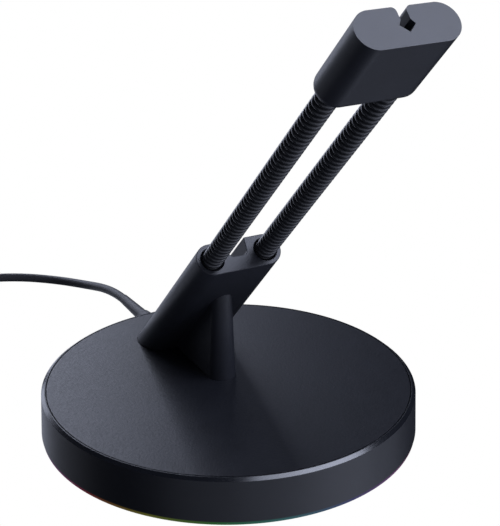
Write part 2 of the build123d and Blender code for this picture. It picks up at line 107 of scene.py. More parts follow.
class Bench:
    """Modelling steps, each done with Blender's own operators."""

    sharp = math.radians(30.0)
    stadium_sides = 96

    @staticmethod
    def clear() -> None:
        """Deselects everything."""
        bpy.ops.object.select_all(action="DESELECT")

    @staticmethod
    def take(piece: Piece) -> None:
        """Makes a piece the only selected one."""
        Bench.clear()
        piece.select_set(True)
        bpy.context.view_layer.objects.active = piece

    @staticmethod
    def linked(name: str, data: bpy.types.ID) -> Piece:
        """Adds an object with its data to the scene and returns it."""
        piece = bpy.data.objects.new(name, data)
        bpy.context.scene.collection.objects.link(piece)
        return piece

    @staticmethod
    def named(name: str) -> Piece:
        """Names the shape that was just added, applies its place and returns it."""
        piece = bpy.context.object
        piece.name = name
        piece.data.name = name
        bpy.ops.object.transform_apply(location=True, rotation=True, scale=True)
        return piece

    @staticmethod
    def place(piece: Piece, matrix: Matrix) -> Piece:
        """Moves a shape by a matrix, so that its place is in its mesh, and returns it."""
        Bench.take(piece)
        piece.matrix_world = matrix @ piece.matrix_world
        bpy.ops.object.transform_apply(location=True, rotation=True, scale=True)
        return piece

    @staticmethod
    def modify(piece: Piece, kind: str, **settings: object) -> None:
        """Gives a piece a modifier with its settings and applies it."""
        Bench.take(piece)
        modifier = piece.modifiers.new(kind.lower(), kind)
        for name, value in settings.items():
            setattr(modifier, name, value)
        bpy.ops.object.modifier_apply(modifier=modifier.name)

    @staticmethod
    @contextmanager
    def editing(piece: Piece) -> Iterator[None]:
        """Opens a piece in edit mode with everything selected."""
        Bench.take(piece)
        bpy.ops.object.mode_set(mode="EDIT")
        bpy.ops.mesh.select_mode(type="VERT")
        bpy.ops.mesh.select_all(action="SELECT")
        yield
        bpy.ops.object.mode_set(mode="OBJECT")

    @staticmethod
    def pick(piece: Piece, wanted: Callable[..., bool], edges: bool = False) -> None:
        """Selects the points of an edited piece that pass a test, or edges whose two ends do."""
        bpy.ops.mesh.select_mode(type="EDGE" if edges else "VERT")
        bpy.ops.mesh.select_all(action="DESELECT")
        shape = bmesh.from_edit_mesh(piece.data)
        for element in shape.edges if edges else shape.verts:
            ends = element.verts if edges else (element,)
            element.select_set(wanted(*(end.co for end in ends)))
        shape.select_flush_mode()
        bmesh.update_edit_mesh(piece.data)

    @staticmethod
    def mend() -> None:
        """Merges the doubles of the edited piece and points its faces outwards."""
        bpy.ops.mesh.select_all(action="SELECT")
        bpy.ops.mesh.remove_doubles(threshold=WELD)
        bpy.ops.mesh.normals_make_consistent(inside=False)

    @staticmethod
    def turned(name: str, outline: Outline, segments: int, ring: bool = False) -> Piece:
        """Turns an outline round Z, by extruding a first circle from point to point.

        Args:
            name: The new piece's name.
            outline: (radius, height) points. The ends are capped unless it is a ring.
            segments: How many sides the circles have.
            ring: Whether the outline closes on its first point.

        Returns:
            The turned piece.
        """
        Bench.clear()
        radius, height = outline[0]
        fill = "NOTHING" if ring else "NGON"
        bpy.ops.mesh.primitive_circle_add(
            vertices=segments, radius=radius, fill_type=fill, location=(0.0, 0.0, height)
        )
        piece = Bench.named(name)
        points = [*outline, outline[0]] if ring else outline
        with Bench.editing(piece):
            for (near_radius, near_height), (far_radius, far_height) in zip(points, points[1:]):
                rise = (0.0, 0.0, far_height - near_height)
                bpy.ops.mesh.extrude_region_move(TRANSFORM_OT_translate={"value": rise})
                spread = far_radius / near_radius
                bpy.ops.transform.resize(
                    value=(spread, spread, 1.0), center_override=(0.0, 0.0, far_height)
                )
            Bench.mend()
        return piece

    @staticmethod
    def rod(
        name: str,
        radius: float,
        heights: tuple[float, float],
        segments: int,
        place: tuple[float, float] = (0.0, 0.0),
    ) -> Piece:
        """A round rod that stands at a place, between two heights."""
        rod = Bench.turned(name, [(radius, height) for height in heights], segments)
        return Bench.place(rod, Matrix.Translation((*place, 0.0)))

    @staticmethod
    def stadium(
        name: str, spacing: float, radii: tuple[float, float], heights: tuple[float, float]
    ) -> Piece:
        """A prism of stadium section along Z, with its two centres on X.

        Args:
            name: The new piece's name.
            spacing: Between the two centres.
            radii: Of its round sides, at the low and the high end.
            heights: Of the low and the high end.

        Returns:
            The prism.
        """
        Bench.clear()
        low, high = heights
        bpy.ops.mesh.primitive_circle_add(
            vertices=Bench.stadium_sides,
            radius=radii[0],
            fill_type="NGON",
            location=(0.0, 0.0, low),
            rotation=(0.0, 0.0, math.pi / Bench.stadium_sides),
        )
        piece = Bench.named(name)
        spread = radii[1] / radii[0]
        middle = (low + high) / 2
        with Bench.editing(piece):
            for side in Side:
                Bench.pick(piece, lambda place: place.x * side.value > 0.0)
                bpy.ops.transform.translate(value=(side.value * spacing / 2, 0.0, 0.0))
            bpy.ops.mesh.select_all(action="SELECT")
            rise = (0.0, 0.0, high - low)
            bpy.ops.mesh.extrude_region_move(TRANSFORM_OT_translate={"value": rise})
            for side in Side:
                Bench.pick(piece, lambda place: place.x * side.value > 0.0 and place.z > middle)
                bpy.ops.transform.resize(
                    value=(spread, spread, 1.0),
                    center_override=(side.value * spacing / 2, 0.0, high),
                )
            Bench.mend()
        return piece

    @staticmethod
    def block(name: str, low: Sequence[float], high: Sequence[float]) -> Piece:
        """A box between two corners."""
        Bench.clear()
        near, far = Vector(low), Vector(high)
        bpy.ops.mesh.primitive_cube_add(size=1.0, location=(near + far) / 2, scale=far - near)
        return Bench.named(name)

    @staticmethod
    def combine(piece: Piece, tool: Piece, join: Join) -> None:
        """Joins a tool shape to a piece, or cuts it out, and removes the tool."""
        Bench.modify(piece, "BOOLEAN", operation=join.value, object=tool, solver="EXACT")
        bpy.data.objects.remove(tool, do_unlink=True)

    @staticmethod
    def drill(
        piece: Piece, place: tuple[float, float], radius: float, heights: tuple[float, float]
    ) -> None:
        """Cuts an upright round hole out of a piece, between two heights."""
        Bench.combine(piece, Bench.rod("drill", radius, heights, 32, place), Join.DIFFERENCE)

    @staticmethod
    def keep_side(piece: Piece, point: Sequence[float], normal: Sequence[float]) -> None:
        """Cuts a piece by a plane and keeps the side that the normal points away from."""
        with Bench.editing(piece):
            bpy.ops.mesh.bisect(plane_co=point, plane_no=normal, use_fill=True, clear_outer=True)
            Bench.mend()

    @staticmethod
    def round_edges(
        piece: Piece, radius: float, wanted: Callable[[Vector, Vector], bool], segments: int = 6
    ) -> None:
        """Rounds the edges of a piece whose two ends pass a test."""
        with Bench.editing(piece):
            Bench.pick(piece, wanted, edges=True)
            bpy.ops.mesh.bevel(offset=radius, segments=segments, profile=0.5, affect="EDGES")
            Bench.mend()

    @staticmethod
    def soften(piece: Piece, width: float) -> None:
        """Rounds every sharp edge a little and shades the piece smooth, led by its large faces."""
        limit = {"limit_method": "ANGLE", "angle_limit": Bench.sharp}
        Bench.modify(piece, "BEVEL", width=width, segments=3, **limit)
        bpy.ops.object.shade_smooth_by_angle(angle=Bench.sharp)
        Bench.modify(piece, "WEIGHTED_NORMAL", keep_sharp=True)


class Graph:
    """The node tree of a material or a world, built up from its shader."""

    def __init__(
        self, owner: bpy.types.Material | bpy.types.World, shader: str = "Principled BSDF"
    ) -> None:
        """Gives the owner its nodes and finds its shader."""
        owner.use_nodes = True
        self.owner = owner
        self.tree = owner.node_tree
        self.shader = self.tree.nodes[shader]

    def feed(self, socket: Socket, value: object) -> None:
        """Links another node's output to an input, or sets the input's own value."""
        if isinstance(value, Socket):
            self.tree.links.new(value, socket)
        else:
            socket.default_value = value

    def set(self, **values: object) -> None:
        """Feeds the shader, with an underscore for each space in an input's name."""
        for name, value in values.items():
            self.feed(self.shader.inputs[name.replace("_", " ")], value)

    def node(
        self, kind: str, inputs: dict[str | int, object] | None = None, **settings: object
    ) -> bpy.types.Node:
        """Adds a node.

        Args:
            kind: Blender's name for this kind of node.
            inputs: What its inputs are fed, by name or number.
            settings: Its own settings.

        Returns:
            The node.
        """
        made = self.tree.nodes.new(kind)
        for name, value in settings.items():
            setattr(made, name, value)
        for socket, value in (inputs or {}).items():
            self.feed(made.inputs[socket], value)
        return made

    def place(self) -> Socket:
        """The place of a point in the object's own frame."""
        return self.node("ShaderNodeTexCoord").outputs["Object"]

    def reckon(self, operation: str, *values: Socket | float) -> Socket:
        """One step of arithmetic."""
        made = self.node("ShaderNodeMath", dict(enumerate(values)), operation=operation)
        return made.outputs["Value"]

    def noise(self, size: float, detail: float = 2.0, stretch: Colour = WHITE) -> Socket:
        """Noise whose features are about a given size in metres.

        Args:
            size: Of one feature.
            detail: How many finer layers are added.
            stretch: How often it repeats along each axis, against its size.

        Returns:
            The noise, from 0 to 1.
        """
        scale = [part / size for part in stretch]
        mapped = self.node("ShaderNodeMapping", {"Vector": self.place(), "Scale": scale})
        inputs = {"Vector": mapped.outputs["Vector"], "Scale": 1.0, "Detail": detail}
        return self.node("ShaderNodeTexNoise", inputs).outputs["Fac"]

    def spread(
        self, value: Socket, low: float, high: float, span: tuple[float, float] = (0.3, 0.7)
    ) -> Socket:
        """Spreads a span of a value, by default the middle of a noise, from a low to a high end."""
        inputs = {"Value": value, "From Min": span[0], "From Max": span[1]}
        inputs |= {"To Min": low, "To Max": high}
        return self.node("ShaderNodeMapRange", inputs).outputs["Result"]

    def tint(self, value: Socket, low: Colour, high: Colour) -> Socket:
        """A colour between two, by a value."""
        inputs = {"Factor": value, "A": (*low, 1.0), "B": (*high, 1.0)}
        return self.node("ShaderNodeMix", inputs, data_type="RGBA").outputs["Result"]

    def bump(self, height: Socket, depth: float) -> None:
        """Bumps the surface by a height from 0 to 1, times a depth in metres."""
        bump = self.node("ShaderNodeBump", {"Height": height, "Distance": depth})
        self.set(Normal=bump.outputs["Normal"])


def shaded(colour: Colour, share: float) -> Colour:
    """A colour made lighter or darker by a share."""
    return tuple(part * share for part in colour)


@dataclass(frozen=True)
class Moulded:
    """A moulded or coated plastic or rubber: a grain in the tool's surface and a faint mottle."""

    name: str
    colour: Colour
    roughness: float
    specular: float
    grain: float = 0.25 * MM
    depth: float = 0.012 * MM
    mottle: float = 0.1
    patch: float = 9 * MM
    unevenness: float = 0.08

    def material(self) -> bpy.types.Material:
        """Builds the finish as a material."""
        graph = Graph(bpy.data.materials.new(self.name))
        patches = graph.spread(graph.noise(self.patch, 3.0), 0.0, 1.0)
        low, high = (shaded(self.colour, 1 + way * self.mottle) for way in (-1, 1))
        grain = graph.noise(self.grain)
        rough = (self.roughness * (1 + way * self.unevenness) for way in (-1, 1))
        graph.set(Base_Color=graph.tint(patches, low, high), Roughness=graph.spread(grain, *rough))
        graph.set(Specular_IOR_Level=self.specular)
        graph.bump(grain, self.depth)
        return graph.owner


@dataclass(frozen=True)
class Metal:
    """A plain or plated metal with drawn lines along one axis."""

    name: str
    colour: Colour
    roughness: float
    lines: Colour = (1.0, 0.04, 1.0)
    line: float = 0.15 * MM
    depth: float = 0.004 * MM
    darkest: float = 0.93
    unevenness: float = 0.2

    def material(self) -> bpy.types.Material:
        """Builds the finish as a material."""
        graph = Graph(bpy.data.materials.new(self.name))
        lines = graph.noise(self.line, 3.0, self.lines)
        shares = graph.spread(lines, 0.0, 1.0)
        drawn = graph.tint(shares, shaded(self.colour, self.darkest), self.colour)
        rough = (self.roughness * (1 + way * self.unevenness) for way in (-1, 1))
        graph.set(Base_Color=drawn, Roughness=graph.spread(lines, *rough), Metallic=1.0)
        graph.bump(lines, self.depth)
        return graph.owner


@dataclass(frozen=True)
class Webbing:
    """A woven strap: two crossed waves in its weave."""

    name: str
    colour: Colour
    thread: float = 0.55 * MM
    depth: float = 0.12 * MM
    wave_scale: float = 0.314

    def material(self) -> bpy.types.Material:
        """Builds the finish as a material."""
        graph = Graph(bpy.data.materials.new(self.name))
        inputs = {"Vector": graph.place(), "Scale": self.wave_scale / self.thread}
        waves = [
            graph.node("ShaderNodeTexWave", inputs, bands_direction=way).outputs["Fac"]
            for way in ("X", "DIAGONAL")
        ]
        weave = graph.reckon("MULTIPLY", *waves)
        cloth = graph.tint(weave, shaded(self.colour, 0.6), shaded(self.colour, 1.3))
        graph.set(Base_Color=cloth, Roughness=0.85, Sheen_Weight=0.3)
        graph.bump(weave, self.depth)
        return graph.owner


@dataclass(frozen=True)
class RainbowLight:
    """A frosted light guide that glows in every hue, going round the base, and fades upwards."""

    name: str
    colour: Colour
    strength: float
    rounds: int = 3
    start: float = math.radians(-160.0)
    saturation: float = 0.92
    bright_height: float = 0.6 * MM
    dim_height: float = 1.7 * MM
    dimmed: float = 0.3
    frost: float = 0.4 * MM

    def material(self) -> bpy.types.Material:
        """Builds the finish as a material."""
        graph = Graph(bpy.data.materials.new(self.name))
        place = graph.node("ShaderNodeSeparateXYZ", {"Vector": graph.place()}).outputs
        angle = graph.reckon("ARCTAN2", place["Y"], place["X"])
        phase = self.rounds * (1.0 - self.start / math.tau)
        turn = graph.reckon("MULTIPLY_ADD", angle, self.rounds / math.tau, phase)
        inputs = {"Red": graph.reckon("FRACT", turn), "Green": self.saturation, "Blue": 1.0}
        glow = graph.node("ShaderNodeCombineColor", inputs, mode="HSV").outputs["Color"]
        heights = (self.bright_height, self.dim_height)
        fade = graph.spread(place["Z"], self.strength, self.strength * self.dimmed, heights)
        frost = graph.noise(self.frost)
        milk = graph.tint(frost, shaded(self.colour, 0.95), self.colour)
        graph.set(Emission_Color=glow, Emission_Strength=fade)
        graph.set(Base_Color=milk, Roughness=graph.spread(frost, 0.45, 0.6))
        return graph.owner


@dataclass(frozen=True)
class Laminate:
    """A circuit board: solder mask with a faint net of tracks under it."""

    name: str
    colour: Colour
    track: float = 0.9 * MM
    depth: float = 0.02 * MM

    def material(self) -> bpy.types.Material:
        """Builds the finish as a material."""
        graph = Graph(bpy.data.materials.new(self.name))
        inputs = {"Vector": graph.place(), "Scale": 0.5 / self.track}
        for part, share in (("Color1", 1.0), ("Color2", 0.9), ("Mortar", 1.6)):
            inputs[part] = (*shaded(self.colour, share), 1.0)
        net = graph.node("ShaderNodeTexBrick", inputs).outputs
        graph.set(Base_Color=net["Color"], Roughness=0.3)
        graph.bump(net["Fac"], self.depth)
        return graph.owner


FINISHES = (
    Moulded("housing_plastic", (0.011, 0.0122, 0.016), 0.42, 0.5, depth=0.010 * MM),
    Moulded("rim_polish", (0.011, 0.0122, 0.016), 0.2, 0.8, depth=0.001 * MM),
    Moulded(
        "panel_soft_touch", (0.011, 0.0122, 0.0165), 0.42, 0.5, grain=0.7 * MM, depth=0.04 * MM
    ),
    Moulded("arm_plastic", (0.026, 0.028, 0.036), 0.42, 0.5),
    Moulded("clip_plastic", (0.022, 0.024, 0.031), 0.42, 0.5),
    Moulded("spring_black", (0.03, 0.031, 0.035), 0.24, 0.8, grain=0.12 * MM, depth=0.004 * MM),
    Moulded("foot_rubber", (0.02, 0.02, 0.021), 0.75, 0.3, grain=0.5 * MM, depth=0.05 * MM),
    Moulded("cable_jacket", (0.03, 0.03, 0.034), 0.5, 0.4, grain=0.2 * MM, depth=0.01 * MM),
    Moulded("plug_plastic", (0.025, 0.025, 0.028), 0.5, 0.4, grain=0.3 * MM, depth=0.02 * MM),
    Moulded("plug_tongue_plastic", (0.02, 0.02, 0.02), 0.4, 0.5),
    Moulded("chip_black", (0.02, 0.02, 0.02), 0.55, 0.4),
    Moulded("header_ivory", (0.75, 0.70, 0.58), 0.45, 0.5, mottle=0.03),
    Moulded("lamp_white", (0.9, 0.9, 0.85), 0.3, 0.5, mottle=0.02),
    Metal("ballast_steel", (0.42, 0.42, 0.43), 0.4),
    Metal("screw_steel", (0.5, 0.5, 0.5), 0.3, lines=(1.0, 1.0, 0.1)),
    Metal("plug_shell_steel", (0.7, 0.7, 0.72), 0.24),
    Metal("contact_gold", (0.8, 0.6, 0.25), 0.25),
    Webbing("tie_strap", (0.03, 0.03, 0.032)),
    Laminate("board_laminate", (0.02, 0.09, 0.04)),
    RainbowLight("light_diffuser", (0.02, 0.021, 0.024), 0.09),
)


class Palette:
    """Every finish of the object, as materials by the record's slot names."""

    def __init__(self) -> None:
        """Builds the materials."""
        self.materials = {finish.name: finish.material() for finish in FINISHES}

    def dress(self, piece: Piece, slot: str, body: Body | None) -> None:
        """Gives a piece one finish all over, and its body.

        Args:
            piece: The piece to dress.
            slot: The finish, and the record's material slot that it stands for.
            body: The body that a piece of this script rides on, or None to leave it unattached.
        """
        piece.data.materials.clear()
        piece.data.materials.append(self.materials[slot])
        if body is not None:
            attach(piece, body.value)
        LOG.info("%s: %s", piece.name, slot)

    def stand_in(self, piece: Piece, slot: str, body: Body, *nodes: str) -> None:
        """Dresses a piece that takes the place of solids."""
        self.dress(piece, slot, body)
        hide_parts(*nodes)


@dataclass
class Base:
    """The round foot of the stand: housing, top panel, light ring and rubber foot."""

    palette: Palette
    radius: float = 55.0 * MM
    height: float = 14.4 * MM
    flare: float = 0.5 * MM
    chamfer_width: float = 0.95 * MM
    chamfer_height: float = 0.8 * MM
    chamfer_margin: float = math.radians(6.0)
    land: float = 0.35 * MM
    groove: float = 0.3 * MM
    panel_thickness: float = 1.8 * MM
    panel_edge: float = 0.2 * MM
    opening_depth: float = 0.5 * MM
    deck_thickness: float = 2.0 * MM
    wall_thickness: float = 2.5 * MM
    ledge_width: float = 1.5 * MM
    lip_height: float = 1.0 * MM
    shelf_height: float = 0.9 * MM
    shelf_width: float = 1.8 * MM
    ring_gap: float = 0.1 * MM
    ring_edge: float = 0.08 * MM
    boss_circle: float = 38.0 * MM
    boss_radius: float = 3.5 * MM
    boss_count: int = 4
    screw_radius: float = 1.5 * MM
    screw_depth: float = 6.8 * MM
    gland_radius: float = 2.8 * MM
    gland_inset: float = 4.0 * MM
    foot_inner: float = 20.0 * MM
    foot_edge: float = 0.3 * MM
    edge_round: float = 0.12 * MM

    @property
    def deck_top(self) -> float:
        """The height of the deck that the top panel lies on."""
        return self.height - self.panel_thickness

    @property
    def seat_radius(self) -> float:
        """The radius of the recess that the top panel lies in."""
        return self.radius - self.chamfer_width - self.land

    def build(self, arm: Arm) -> None:
        """Models and dresses the base's own pieces."""
        self.housing(arm)
        self.panel(arm)
        self.light_ring()
        self.foot()

    def housing(self, arm: Arm) -> None:
        """The wall, rim and deck in one turned shape, with screw bosses and the cable's hole."""
        ring_low, ring_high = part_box("light_ring")
        wall_bottom = ring_low.z + self.lip_height
        plate_top = ring_high.z - self.shelf_height
        board_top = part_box("light_board")[1].z
        inner = self.radius - self.wall_thickness
        ledge = inner - self.ledge_width
        deck_bottom = self.deck_top - self.deck_thickness
        outline = (
            (ledge, deck_bottom),
            (ledge, board_top),
            (inner, board_top),
            (inner, wall_bottom),
            (self.radius + self.flare, wall_bottom),
            (self.radius, self.height - self.chamfer_height),
            (self.radius - self.chamfer_width, self.height),
            (self.seat_radius, self.height),
            (self.seat_radius, self.deck_top),
        )
        shell = Bench.turned("base_shell", outline, 256)
        screw_heights = (plate_top - MM, plate_top + self.screw_depth)
        for index in range(self.boss_count):
            angle = math.tau * (index + 0.5) / self.boss_count
            place = (self.boss_circle * math.cos(angle), self.boss_circle * math.sin(angle))
            boss = Bench.rod("boss", self.boss_radius, (plate_top, deck_bottom + MM), 48, place)
            Bench.combine(shell, boss, Join.UNION)
            Bench.drill(shell, place, self.screw_radius, screw_heights)
        for place in arm.screw_places():
            Bench.drill(shell, place, self.screw_radius, (deck_bottom - MM, self.deck_top + MM))
        hole = Bench.rod("gland_hole", self.gland_radius, (0.0, self.radius), 48)
        across, _, up = sum(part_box("strain_relief"), Vector()) / 2
        start = Matrix.Translation((across, inner - self.gland_inset, up))
        Bench.combine(shell, Bench.place(hole, start @ Z_TO_Y), Join.DIFFERENCE)
        Bench.soften(shell, self.edge_round)
        self.palette.stand_in(shell, "housing_plastic", Body.BASE, "base_housing")
        self.polish(shell)

    def polish(self, shell: Piece) -> None:
        """Gives the rim's chamfer a smoother finish."""
        shell.data.materials.append(self.palette.materials["rim_polish"])
        chamfer_tilt = math.atan2(self.chamfer_width, self.chamfer_height)
        for face in shell.data.polygons:
            tilt = math.asin(max(-1.0, min(1.0, face.normal.z)))
            high = face.center.z > self.height - self.chamfer_height
            if high and abs(tilt - chamfer_tilt) < self.chamfer_margin:
                face.material_index = 1

    def panel(self, arm: Arm) -> None:
        """The soft-touch disc that covers the deck, open where the arm stands through it."""
        radius = self.seat_radius - self.groove
        disc = Bench.rod("top_disc", radius, (self.deck_top, self.height), 256)
        opening = arm.blank("panel_opening", arm.fit_gap, self.deck_top - self.opening_depth)
        Bench.combine(disc, opening, Join.DIFFERENCE)
        Bench.soften(disc, self.panel_edge)
        self.palette.stand_in(disc, "panel_soft_touch", Body.BASE, "top_panel")

    def light_ring(self) -> None:
        """The light guide, whose lip glows under the wall."""
        low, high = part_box("light_ring")
        outer = high.x + self.flare
        inner = self.radius - self.wall_thickness - self.ring_gap
        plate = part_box("base_plate")[1].x + self.ring_gap
        shelf = plate - self.shelf_width
        outline = (
            (plate, low.z),
            (outer, low.z),
            (outer, low.z + self.lip_height),
            (inner, low.z + self.lip_height),
            (inner, high.z),
            (shelf, high.z),
            (shelf, high.z - self.shelf_height),
            (plate, high.z - self.shelf_height),
        )
        ring = Bench.turned("glow_ring", outline, 256, ring=True)
        Bench.soften(ring, self.ring_edge)
        self.palette.stand_in(ring, "light_diffuser", Body.BASE, "light_ring")

    def foot(self) -> None:
        """The rubber ring that the stand rests on."""
        low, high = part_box("rubber_foot")
        inner, outer = self.foot_inner, high.x
        outline = ((inner, low.z), (outer, low.z), (outer, high.z), (inner, high.z))
        ring = Bench.turned("foot_ring", outline, 192, ring=True)
        Bench.soften(ring, self.foot_edge)
        self.palette.stand_in(ring, "foot_rubber", Body.BASE, "rubber_foot")


@dataclass
class Arm:
    """The leaning arm: holder with strut, two wound springs and the cable clip."""

    palette: Palette
    lean: float = math.radians(44.0)
    root: Place = (0.0, 34.63 * MM, 14.4 * MM)
    deck_top: float = 12.6 * MM
    fit_gap: float = 0.1 * MM
    spacing: float = 16.58 * MM
    holder_length: float = 60.05 * MM
    holder_radius: float = 4.72 * MM
    holder_draft: float = math.radians(0.4)
    buried: float = 8.32 * MM
    strut_reach: float = 29.94 * MM
    strut_radius: float = 4.25 * MM
    strut_draft: float = math.radians(2.2)
    strut_height: float = 33.0 * MM
    strut_buried: float = 2.0 * MM
    channel_floor: float = -0.4 * MM
    channel_top: float = 9.44 * MM
    channel_floor_radius: float = 2.65 * MM
    channel_draft: float = math.radians(5.0)
    channel_round: float = 1.2 * MM
    channel_stop: float = 16.0 * MM
    seat_radius: float = 3.05 * MM
    seat_mouth_radius: float = 3.45 * MM
    seat_mouth_depth: float = 3.0 * MM
    holder_seat_depth: float = 22.0 * MM
    clip_seat_depth: float = 14.0 * MM
    screw_head: float = 2.8 * MM
    screw_radius: float = 1.5 * MM
    screw_depth: float = 6.8 * MM
    spring_radius: float = 3.0 * MM
    spring_gap: float = 0.05 * MM
    wire_radius: float = 0.7 * MM
    wire_sides: int = 14
    wire_crease: float = math.radians(60.0)
    filler_radius: float = 0.38 * MM
    filler_sides: int = 8
    filler_place: float = 1.74 * MM
    pitch: float = 1.875 * MM
    steps_per_turn: int = 32
    low_turns: int = 35
    high_turns: int = 30
    bare_length: float = 88.8 * MM
    clip_length: float = 25.7 * MM
    clip_radius: float = 5.0 * MM
    clip_end_round: float = 3.0 * MM
    neck_half: float = 1.25 * MM
    lip_radius: float = 1.3 * MM
    throat: float = 1.6 * MM
    pocket_half: float = 2.1 * MM
    pocket_middle: float = 0.35 * MM
    pocket_bottom: float = -1.6 * MM
    edge_round: float = 0.22 * MM

    @property
    def frame(self) -> Matrix:
        """From the arm's frame, with Y towards its back and Z along it, to the stand's frame."""
        return Matrix.Translation(self.root) @ Matrix.Rotation(self.lean, 4, "X")

    @property
    def clip_start(self) -> float:
        """Where the clip begins, along the arm."""
        return self.holder_length + self.bare_length

    @property
    def pocket_peak(self) -> float:
        """Where the pocket's two upper faces would meet, if the neck did not cut them short."""
        slope = (self.throat - self.pocket_middle) / (self.pocket_half - self.neck_half)
        return self.throat + slope * self.neck_half

    def screw_places(self) -> list[tuple[float, float]]:
        """The places of the three screws that hold the arm, from the box round their heads."""
        low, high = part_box("arm_screws")
        left, right = low.x + self.screw_head, high.x - self.screw_head
        front, back = low.y + self.screw_head, high.y - self.screw_head
        return [(left, back), (right, back), (0.0, front)]

    def at_spring(self, side: Side, along: float = 0.0) -> Matrix:
        """From a spring's own frame, with Z along it, to the stand's frame."""
        return self.frame @ Matrix.Translation((side.value * self.spacing / 2, 0.0, along))

    def build(self) -> None:
        """Models and dresses the arm's pieces."""
        self.holder()
        for side in Side:
            self.spring(side)
        self.clip()

    def blank(self, name: str, grow: float, bottom: float) -> Piece:
        """The holder and its strut as one solid with a level underside.

        Args:
            name: The new piece's name.
            grow: How far its sides are moved out.
            bottom: The height of its underside.

        Returns:
            The solid, in the stand's frame.
        """
        length = self.holder_length + self.buried
        root_radius = self.holder_radius + length * math.tan(self.holder_draft) + grow
        radii = (root_radius, self.holder_radius + grow)
        tube = Bench.stadium(name, self.spacing, radii, (-self.buried, self.holder_length))
        Bench.place(tube, self.frame)
        heights = (-self.strut_buried, self.strut_height)
        slope = math.tan(self.strut_draft)
        low_radius, high_radius = (self.strut_radius + grow - height * slope for height in heights)
        strut = Bench.stadium("strut", self.strut_reach, (low_radius, high_radius), heights)
        middle = (0.0, self.root[1] - self.strut_reach / 2, self.deck_top)
        Bench.place(strut, Matrix.Translation(middle) @ Matrix.Rotation(math.pi / 2, 4, "Z"))
        Bench.keep_side(strut, self.root, self.frame.to_3x3() @ Vector((0.0, 1.0, 0.0)))
        Bench.combine(tube, strut, Join.UNION)
        Bench.keep_side(tube, (0.0, 0.0, bottom), (0.0, 0.0, -1.0))
        return tube

    def channel(self) -> Piece:
        """The shape of the mouse cable's channel, to be cut out of the holder's back."""
        floor, top = self.channel_floor, self.channel_top
        top_radius = self.channel_floor_radius + (top - floor) * math.tan(self.channel_draft)
        spacing = 2 * (self.holder_length - self.channel_stop - top_radius)
        radii = (self.channel_floor_radius, top_radius)
        tool = Bench.stadium("channel", spacing, radii, (floor, top))

        def on_floor(near: Vector, far: Vector) -> bool:
            """Whether an edge lies on the channel's floor."""
            return max(near.z, far.z) < floor + WELD

        Bench.round_edges(tool, self.channel_round, on_floor)
        along = Matrix(((0, 1, 0, 0), (0, 0, 1, 0), (1, 0, 0, self.holder_length), (0, 0, 0, 1)))
        return Bench.place(tool, self.frame @ along)

    def seat(self, side: Side, outline: Outline) -> Piece:
        """A bore for one spring, from (radius, distance along the arm) points."""
        return Bench.place(Bench.turned("seat", outline, 64), self.at_spring(side))

    def holder(self) -> None:
        """The holder and strut, with the cable's channel and the springs' seats cut into them."""
        body = self.blank("spring_holder", 0.0, self.deck_top)
        Bench.combine(body, self.channel(), Join.DIFFERENCE)
        end = self.holder_length
        mouth = end - self.seat_mouth_depth
        outline = (
            (self.seat_radius, end - self.holder_seat_depth),
            (self.seat_radius, mouth),
            (self.seat_mouth_radius, mouth),
            (self.seat_mouth_radius, end + self.holder_radius),
        )
        for side in Side:
            Bench.combine(body, self.seat(side, outline), Join.DIFFERENCE)
        screw_heights = (self.deck_top - MM, self.deck_top + self.screw_depth)
        for place in self.screw_places():
            Bench.drill(body, place, self.screw_radius, screw_heights)
        Bench.soften(body, self.edge_round)
        self.palette.stand_in(body, "arm_plastic", Body.BASE, "arm_holder")

    def wound(self, name: str, side: Side, start: float, turns: int) -> Piece:
        """A length of spring, wound from a round wire with a thinner one between its turns.

        Args:
            name: The new piece's name.
            side: Which spring it belongs to.
            start: Where its thicker wire begins, along the arm.
            turns: How many turns it has.

        Returns:
            The wound wire, in the stand's frame.
        """
        upright = (math.pi / 2, 0.0, 0.0)
        Bench.clear()
        bpy.ops.mesh.primitive_circle_add(
            vertices=self.wire_sides,
            radius=self.wire_radius,
            location=(self.spring_radius - self.wire_radius, 0.0, 0.0),
            rotation=upright,
        )
        wire = Bench.named(name)
        with Bench.editing(wire):
            bpy.ops.mesh.primitive_circle_add(
                vertices=self.filler_sides,
                radius=self.filler_radius,
                location=(self.filler_place, 0.0, self.pitch / 2),
                rotation=upright,
            )
        steps = {"steps": self.steps_per_turn, "render_steps": self.steps_per_turn}
        Bench.modify(wire, "SCREW", axis="Z", screw_offset=self.pitch, iterations=turns, **steps)
        with Bench.editing(wire):
            bpy.ops.mesh.select_all(action="DESELECT")
            bpy.ops.mesh.select_non_manifold()
            bpy.ops.mesh.fill_holes(sides=0)
            Bench.mend()
        Bench.place(wire, self.at_spring(side, start))
        bpy.ops.object.shade_smooth_by_angle(angle=self.wire_crease)
        return wire

    def spring(self, side: Side) -> None:
        """One spring, wound in two lengths that take the place of its solid."""
        name = side.name.lower()
        seat_floor = self.holder_length - self.holder_seat_depth
        bottom = seat_floor + self.wire_radius + self.spring_gap
        middle = bottom + self.low_turns * self.pitch
        low = self.wound(f"{name}_spring_low", side, bottom, self.low_turns)
        high = self.wound(f"{name}_spring_high", side, middle, self.high_turns)
        spans = (
            (low, Body.BASE, Body.SPRINGS, self.holder_length, middle),
            (high, Body.SPRINGS, Body.CLIP, middle, self.clip_start),
        )
        for piece, near, far, start, end in spans:
            self.palette.dress(piece, "spring_black", None)
            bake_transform(piece)
            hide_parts(f"{name}_spring")

